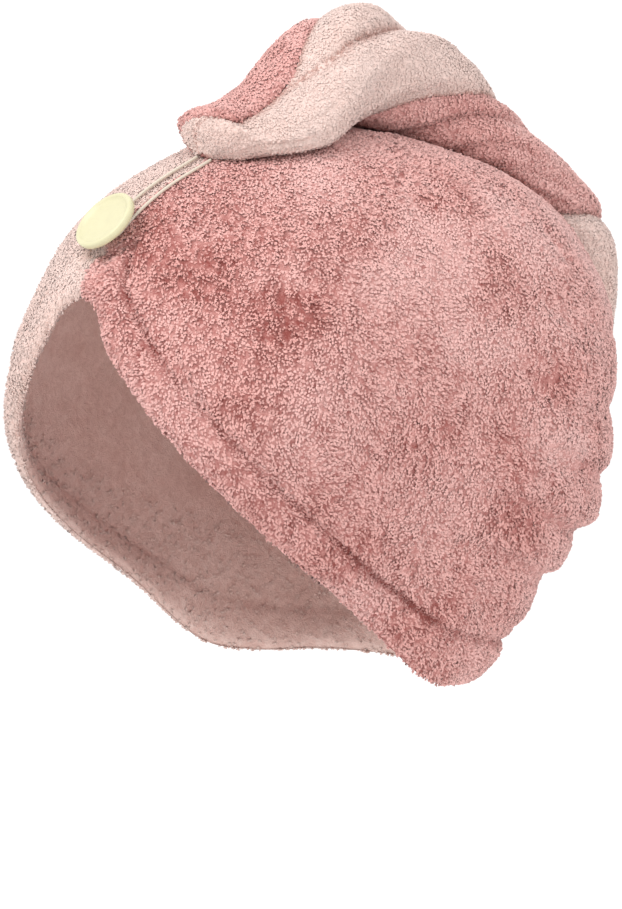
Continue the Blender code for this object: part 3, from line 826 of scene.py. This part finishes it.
def strand_grid(first, last):
    """Outside of one strand as a grid of stations and angles, what its flat sides need, and how far
    each place is down in a crease."""
    stations, sides = STRAND_GRID
    share = np.linspace(0.0, 1.0, stations + 1)
    share = 0.55 * share + 0.45 * (0.5 - 0.5 * np.cos(np.pi * share))
    station = TAIL_ROWS[0, 0] + (TAIL_ROWS[-1, 0] - TAIL_ROWS[0, 0]) * share
    lines = tail_lines(station)
    start = lines[first]
    width = (lines[last] - start) % 360.0
    slim = np.degrees(CLEARANCE / 2.0 / np.minimum(lines[0] / 2.0, lines[1]))
    t = np.linspace(0.0, 1.0, sides + 1)
    angle = (start + slim)[:, None] + (width - 2.0 * slim)[:, None] * t[None, :]
    station_grid = np.repeat(station[:, None], len(t), 1)
    outside = tail_surface(station_grid, angle, GROUND_DEPTH * 1.5)
    return station, start, width, outside, in_a_crease(station_grid, angle)


def strand(name, first, last, finish):
    """One strand as a closed solid: its share of the outside and two sides to the tail's middle."""
    station, start, width, outside = strand_grid(first, last)[:4]
    thickness, sidestep = tail_lines(station)[0], tail_lines(station)[6]
    away, seat = tail_seat(station, sidestep)
    middle = CENTRE + away * (seat + thickness / 2.0)[..., None]
    middle[:, 0] += sidestep
    bisector = np.radians(start + width / 2.0)
    back_off = CLEARANCE / 2.0 / np.maximum(np.sin(np.radians(width / 2.0)), 0.35)
    apex = middle + away * (back_off * np.cos(bisector))[:, None]
    apex[:, 0] += back_off * np.sin(bisector)
    ring = np.concatenate([apex[:, None, :], outside], 1)
    number, quads = tube(*ring.shape[:2])
    fans = []
    for row, turn in ((0, -1), (-1, 1)):
        fan = np.stack([0 * number[row, 2:] + number[row, 0], number[row, 1:-1], number[row, 2:]], -1)
        fans.append(fan[:, ::turn])
    points = ring.reshape(-1, 3)
    lie = np.clip(0.5 + 0.3 * cloud(points, 0.02, 43) + 0.2 * cloud(points, 0.008, 44), 0.0, 1.0)
    # Painted shade of the ground between the tufts, with clump noise, lighter on the pink strand.
    painted_shade = 0.45 + 0.15 * clumps(points) + 0.35 * (first == 2)
    tidy(piece(name, points, [quads] + fans, finish, (name,), painted_shade, lie))


def strand_pile(name, first, last, finish, spacing, seed, wild):
    """Tufts over one strand's outside, combed along the twist. Rose pile stands up more and pink
    pile has more painted shade in its creases."""
    draws = np.random.default_rng(seed)
    outside, creased = strand_grid(first, last)[3:]
    normals = grid_normals(outside)
    middle = outside.mean(1, keepdims=True)
    if np.sum(normals * (outside - middle)) < 0.0:
        normals = -normals
    row, column, u, v = sow(outside, spacing, draws)
    roots = at(outside, row, column, u, v)
    out = unit(at(normals, row, column, u, v))
    comb = at(np.gradient(outside, axis=0), row, column, u, v)
    comb = comb + at(np.gradient(outside, axis=1), row, column, u, v) * 0.4
    # How flat the pile lies, and how strongly painted shade darkens the creases.
    flat, painted_crease_shade = (0.3, 0.4) if wild > 0.5 else (0.5, 1.5)
    lie = flat + 0.3 * cloud(roots, 0.02, 43) + 0.2 * cloud(roots, 0.008, 44)
    length = np.full(len(roots), TUFT_LENGTH * 0.9)
    sunk = at(creased, row, column, u, v) * painted_crease_shade
    tufts(name, roots, out, comb, lie.clip(0.0, 1.0), wild, length, spacing * 1.2, sunk, 0.0 * sunk,
          finish, draws)


def button_seat():
    """Point of the front seam under the button, the hood's normal there, and the button's axis."""
    elevation = np.array(BUTTON_ELEVATION)
    seam = seam_azimuth(elevation)
    return (hood_point(seam, elevation), hood_normal(seam, elevation),
            directions(np.array(BUTTON_TURN), np.array(BUTTON_FACING))[0])


def button_heights():
    """Where the shank starts above the seat, and where the button's underside is, both along the
    axis: high enough for the tilt to bring no edge nearer than a clearance."""
    _, normal, axis = button_seat()
    lean = np.linalg.norm(np.cross(normal, axis))
    foot = CLEARANCE + SHANK_DIAMETER / 2.0 * lean
    loop_reach = SHANK_DIAMETER / 2.0 + LOOP_SLACK + LOOP_DIAMETER
    return foot, 2.0 * CLEARANCE + LOOP_DIAMETER + loop_reach * lean


def button(finish):
    """Dished disc with a raised rim, turned in one piece with the shank under it. The spokes start
    from +X, not square to the axis, so the disc faces 10 degrees off it, without the turn."""
    radius = BUTTON_DIAMETER / 2.0
    shank = SHANK_DIAMETER / 2.0
    foot, underside = button_heights()
    top = underside + BUTTON_THICKNESS
    profile = np.array([
        (0.00, top - BUTTON_THICKNESS * 0.40),
        (radius * 0.30, top - BUTTON_THICKNESS * 0.395),
        (radius * 0.55, top - BUTTON_THICKNESS * 0.36),
        (radius * 0.72, top - BUTTON_THICKNESS * 0.30),
        (radius - BUTTON_RIM, top - BUTTON_THICKNESS * 0.20),
        (radius - BUTTON_RIM * 0.80, top - BUTTON_THICKNESS * 0.06),
        (radius - BUTTON_RIM * 0.60, top),
        (radius - BUTTON_RIM * 0.40, top),
        (radius - BUTTON_RIM * 0.20, top - BUTTON_THICKNESS * 0.04),
        (radius - BUTTON_RIM * 0.06, top - BUTTON_THICKNESS * 0.12),
        (radius, top - BUTTON_THICKNESS * 0.28),
        (radius, top - BUTTON_THICKNESS * 0.55),
        (radius * 0.97, underside + BUTTON_THICKNESS * 0.18),
        (radius * 0.91, underside + BUTTON_THICKNESS * 0.04),
        (radius * 0.86, underside),
        (shank * 1.3, underside),
        (shank, underside - 0.0003),
        (shank, foot + 0.0002),
        (shank * 0.9, foot),
        (0.0, foot),
    ])
    steps = 96
    turn = np.linspace(0.0, 2.0 * np.pi, steps, endpoint=False)
    seat, _, away = button_seat()
    east = np.array([1.0, 0.0, 0.0])
    north = np.cross(away, east)
    spoke = np.cos(turn)[:, None] * east + np.sin(turn)[:, None] * north
    points = seat + spoke[None] * profile[:, 0, None, None] + away * profile[:, 1, None, None]
    quads = tube(len(profile), steps)[1]
    tidy(piece("button", points.reshape(-1, 3), [quads], finish, ("button",)))


def loop_path():
    """Middle of the elastic: from the tail's tip down beside the seam, round the shank and back."""
    lift = LOOP_DIAMETER / 2.0 - PILE_SINK
    half = SHANK_DIAMETER / 2.0 + LOOP_SLACK + LOOP_DIAMETER / 2.0
    seat, normal, axis = button_seat()
    middle = seat + axis * (lift / (axis @ normal))
    higher = np.array(BUTTON_ELEVATION + 1.0)
    side = unit(np.cross(hood_point(seam_azimuth(higher), higher) - seat, normal))
    down = np.cross(side, normal)
    tip = tail_surface(np.array([TAIL_ROWS[-1, 0]]), np.array([180.0]))[0]
    tip_elevation = np.degrees(np.arctan2(tip[2] + CROWN_DROP, -tip[1]))
    reach_here = np.linalg.norm(tip - CENTRE)
    start = tip_elevation - np.degrees((LOOP_DIAMETER / 2.0 + CLEARANCE) / reach_here)
    beside = np.radians(seam_azimuth(start)) + half / reach_here
    start = np.degrees(np.arctan(np.tan(np.radians(start)) * np.cos(beside)))
    run = np.linspace(start, BUTTON_ELEVATION, 25)[:-1]
    straight = hood_point(seam_azimuth(run), run, lift + 0.0 * run)
    turns = np.radians(np.linspace(0.0, 180.0, 25))
    bend = [middle + side * half * np.cos(t) + down * half * np.sin(t) for t in turns]
    return np.concatenate([straight + side * half, np.array(bend), straight[::-1] - side * half])


def elastic_loop(finish):
    """Round covered elastic: a ribbed circle carried along the path, its ends closed."""
    path = loop_path()
    apart = np.concatenate([[0.0], np.cumsum(np.linalg.norm(np.diff(path, axis=0), axis=1))])
    fine = np.arange(0.0, apart[-1], 0.00035)
    line = np.stack([np.interp(fine, apart, path[:, k]) for k in range(3)], -1)
    ahead = unit(np.gradient(line, axis=0))
    side = unit(np.cross(ahead, button_seat()[1]))
    rise = np.cross(side, ahead)
    sides = 14
    turn = np.linspace(0.0, 2.0 * np.pi, sides, endpoint=False)
    rib = 1.0 + 0.05 * np.cos(2.0 * np.pi * fine[:, None] / 0.0011 + 3.0 * turn[None, :])
    radius = LOOP_DIAMETER / 2.0 * rib
    points = (line[:, None, :] + side[:, None, :] * (radius * np.cos(turn))[..., None]
              + rise[:, None, :] * (radius * np.sin(turn))[..., None])
    number, quads = tube(len(fine), sides)
    faces = [quads, number[:1, ::-1], number[-1:]]
    tidy(piece("elastic_loop", points.reshape(-1, 3), faces, finish, ("elastic_loop",)))


class Tint:
    """A socket of a finish. Arithmetic on it adds Math nodes to that finish."""

    def __init__(self, finish, socket):
        self.finish = finish
        self.socket = socket

    def worked(self, operation, *values):
        return self.finish.node("ShaderNodeMath", {"operation": operation}, dict(enumerate(values)))

    def __add__(self, other):
        return self.worked("ADD", self, other)

    def __sub__(self, other):
        return self.worked("SUBTRACT", self, other)

    def __mul__(self, other):
        return self.worked("MULTIPLY", self, other)

    def __rsub__(self, other):
        return self.worked("SUBTRACT", other, self)

    __radd__ = __add__
    __rmul__ = __mul__


class Finish:
    """A material built on one Principled shader."""

    def __init__(self, name):
        self.material = bpy.data.materials.new(name)
        self.material.use_nodes = True
        self.tree = self.material.node_tree
        self.shader = self.tree.nodes["Principled BSDF"]

    def node(self, kind, settings=None, values=None, output=0):
        """Add a node, set it up, and fill its sockets with numbers, colours or links."""
        made = self.tree.nodes.new(kind)
        for name, setting in (settings or {}).items():
            setattr(made, name, setting)
        for socket, value in (values or {}).items():
            if isinstance(value, Tint):
                self.tree.links.new(value.socket, made.inputs[socket])
            else:
                made.inputs[socket].default_value = value
        return Tint(self, made.outputs[output])

    def wear(self, **values):
        """Give the shader's sockets their values or links; underscores stand for spaces."""
        for name, value in values.items():
            socket = self.shader.inputs[name.replace("_", " ")]
            if isinstance(value, Tint):
                self.tree.links.new(value.socket, socket)
            else:
                socket.default_value = value

    def place(self):
        return self.node("ShaderNodeTexCoord", output="Object")

    def layer(self, name):
        return self.node("ShaderNodeAttribute", {"attribute_name": name}, output="Fac")

    def noise(self, place, scale, detail=2.0, rough=0.5, warp=0.0):
        """Smooth noise from 0 to 1, its scale in waves to a metre."""
        return self.node("ShaderNodeTexNoise", {}, {"Vector": place, "Scale": scale, "Detail": detail,
                                                    "Roughness": rough, "Distortion": warp})

    def mix(self, share, first, second):
        """The first colour at share 0 and the second at share 1."""
        return self.node("ShaderNodeMix", {"data_type": "RGBA"}, {0: share, 6: first, 7: second}, 2)

    def within(self, value, low, high):
        """The value carried from low..high to 0..1 and held there."""
        return self.node("ShaderNodeMapRange", {"clamp": True},
                         {"Value": value, "From Min": low, "From Max": high})

    def bump(self, height, strength, distance):
        return self.node("ShaderNodeBump", {}, {"Height": height, "Strength": strength,
                                                "Distance": distance})


def fleece(name, painted_deep_shade, tip, pale):
    """Pile: painted shade deep between the tufts and at their roots, light at their tips, paler where
    brushed flat, fibres as bump.
    """
    cloth = Finish(name)
    place = cloth.place()
    painted_shade = cloth.layer("painted_shade")
    tone = cloth.layer("tone")
    fibres = cloth.noise(place, 1900.0, 2.0, rough=0.65)
    clumps = cloth.noise(place, 520.0, 2.0, rough=0.6, warp=0.4)
    # Depth comes from the painted shade attribute with fibre and clump noise; where it is low the
    # colour is the painted shade colour.
    depth = painted_shade + (fibres - 0.5) * 0.55 + (clumps - 0.5) * 0.75
    lit = cloth.mix(cloth.within(tone, 0.1, 0.9), (*tip, 1.0), (*pale, 1.0))
    colour = cloth.mix(cloth.within(depth, 0.02, 0.85), (*painted_deep_shade, 1.0), lit)
    cloth.wear(Base_Color=colour, Roughness=0.95, Metallic=0.0, Sheen_Weight=0.20,
               Sheen_Roughness=0.55, Sheen_Tint=(1.0, 0.88, 0.86, 1.0), Specular_IOR_Level=0.15,
               Normal=cloth.bump(fibres + clumps, 0.6, 0.0006))
    return cloth.material


def resin(name, colour):
    """Ivory resin, faintly clouded, satin."""
    solid = Finish(name)
    clouds = solid.noise(solid.place(), 260.0, 3.0)
    lighter = tuple(min(c * 1.08, 1.0) for c in colour)
    darker = tuple(c * 0.93 for c in colour)
    tint = solid.mix(clouds, (*darker, 1.0), (*lighter, 1.0))
    fine = solid.noise(solid.place(), 900.0, 2.0)
    solid.wear(Base_Color=tint, Roughness=0.34 + 0.12 * clouds, Metallic=0.0,
               Normal=solid.bump(fine, 0.15, 0.0002))
    return solid.material


def elastic(name, colour):
    """Covered elastic: fine ribs round the cord."""
    cord = Finish(name)
    yarns = cord.noise(cord.place(), 1600.0, 2.0)
    darker = tuple(c * 0.8 for c in colour)
    cord.wear(Base_Color=cord.mix(yarns, (*darker, 1.0), (*colour, 1.0)), Roughness=0.8, Metallic=0.0,
              Normal=cord.bump(yarns, 0.4, 0.0003))
    return cord.material


def studio_floor():
    """Plain pale floor, six metres each way."""
    surface = Finish("studio_floor")
    grain = surface.noise(surface.place(), 3.0, 2.0)
    darker = tuple(c * 0.985 for c in FLOOR_WHITE)
    surface.wear(Base_Color=surface.mix(grain, (*darker, 1.0), (*FLOOR_WHITE, 1.0)), Roughness=0.9)
    mesh = bpy.data.meshes.new("studio_floor")
    ways = ((-1, -1), (1, -1), (1, 1), (-1, 1))
    corners = [(x * FLOOR_REACH, y * FLOOR_REACH, FLOOR_HEIGHT) for x, y in ways]
    mesh.from_pydata(corners, [], [(0, 1, 2, 3)])
    mesh.materials.append(surface.material)
    placed("studio_floor", mesh)


def camera():
    """Camera at the photograph's angle, with the origin on the pixel where the photograph has it."""
    towards, up, right = directions(CAMERA_AZIMUTH, CAMERA_ELEVATION)
    east = (ORIGIN_PIXEL[0] - IMAGE_SIZE[0] / 2.0) * METRES_PER_PIXEL
    north = (IMAGE_SIZE[1] / 2.0 - ORIGIN_PIXEL[1]) * METRES_PER_PIXEL
    target = -right * east - up * north
    data = bpy.data.cameras.new("camera")
    data.sensor_width = SENSOR_WIDTH
    data.lens = CAMERA_DISTANCE / METRES_PER_PIXEL / IMAGE_SIZE[1] * SENSOR_WIDTH
    data.clip_start = 0.05
    data.clip_end = 50.0
    made = placed("camera", data)
    made.location = target + towards * CAMERA_DISTANCE
    made.rotation_euler = Vector(towards).to_track_quat("Z", "Y").to_euler()
    bpy.context.scene.camera = made


def lamp(name, azimuth, elevation, distance, size, watts):
    """Square area light aimed at the middle of the towel."""
    away = Vector(directions(azimuth, elevation)[0])
    data = bpy.data.lights.new(name, "AREA")
    data.shape = "SQUARE"
    data.size = size
    data.energy = watts
    made = placed(name, data)
    made.location = Vector((0.0, 0.0, LAMP_AIM)) + away * distance
    made.rotation_euler = away.to_track_quat("Z", "Y").to_euler()


def studio_light():
    """White surround and large soft lamps, the main one high on the picture's left."""
    world = bpy.data.worlds.new("studio")
    world.use_nodes = True
    surround = world.node_tree.nodes["Background"]
    surround.inputs["Color"].default_value = (1.0, 1.0, 1.0, 1.0)
    surround.inputs["Strength"].default_value = 1.15
    bpy.context.scene.world = world
    lamp("key", CAMERA_AZIMUTH - 55.0, 50.0, distance=2.2, size=1.2, watts=25.0)
    lamp("fill", CAMERA_AZIMUTH + 40.0, 25.0, distance=2.5, size=1.8, watts=10.0)
    bpy.context.scene.view_settings.view_transform = "Standard"


def main():
    """The stage, the finishes and every piece."""
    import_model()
    studio_floor()
    studio_light()
    camera()
    rose = fleece("rose_fleece", ROSE_PAINTED_SHADE, ROSE_TIP, ROSE_PALE)
    pink = fleece("pink_fleece", PINK_PAINTED_SHADE, PINK_TIP, PINK_PALE)
    hood_panel("hood_left_panel", 1.0, rose, 150, 80)
    hood_panel("hood_right_panel", -1.0, pink, 120, 60)
    panel_pile("hood_left_pile_front", 1.0, rose,
               spacing=0.00098, seed=5, wild=1.0, span=(0.0, 0.63))
    panel_pile("hood_left_pile_back", 1.0, rose,
               spacing=0.00098, seed=9, wild=1.0, span=(0.63, 1.0))
    panel_pile("hood_right_pile_front", -1.0, pink,
               spacing=0.00092, seed=6, wild=0.15, span=(0.0, 0.16))
    panel_pile("hood_right_pile_back", -1.0, pink,
               spacing=0.00150, seed=10, wild=0.3, span=(0.16, 1.0))
    strand("tail_rose_strand", 3, 2, rose)
    strand("tail_pink_strand", 2, 3, pink)
    strand_pile("tail_rose_pile", 3, 2, rose,
                spacing=0.00095, seed=7, wild=0.6)
    strand_pile("tail_pink_pile", 2, 3, pink,
                spacing=0.00098, seed=8, wild=0.15)
    button(resin("button", IVORY))
    elastic_loop(elastic("elastic", CREAM))


main()
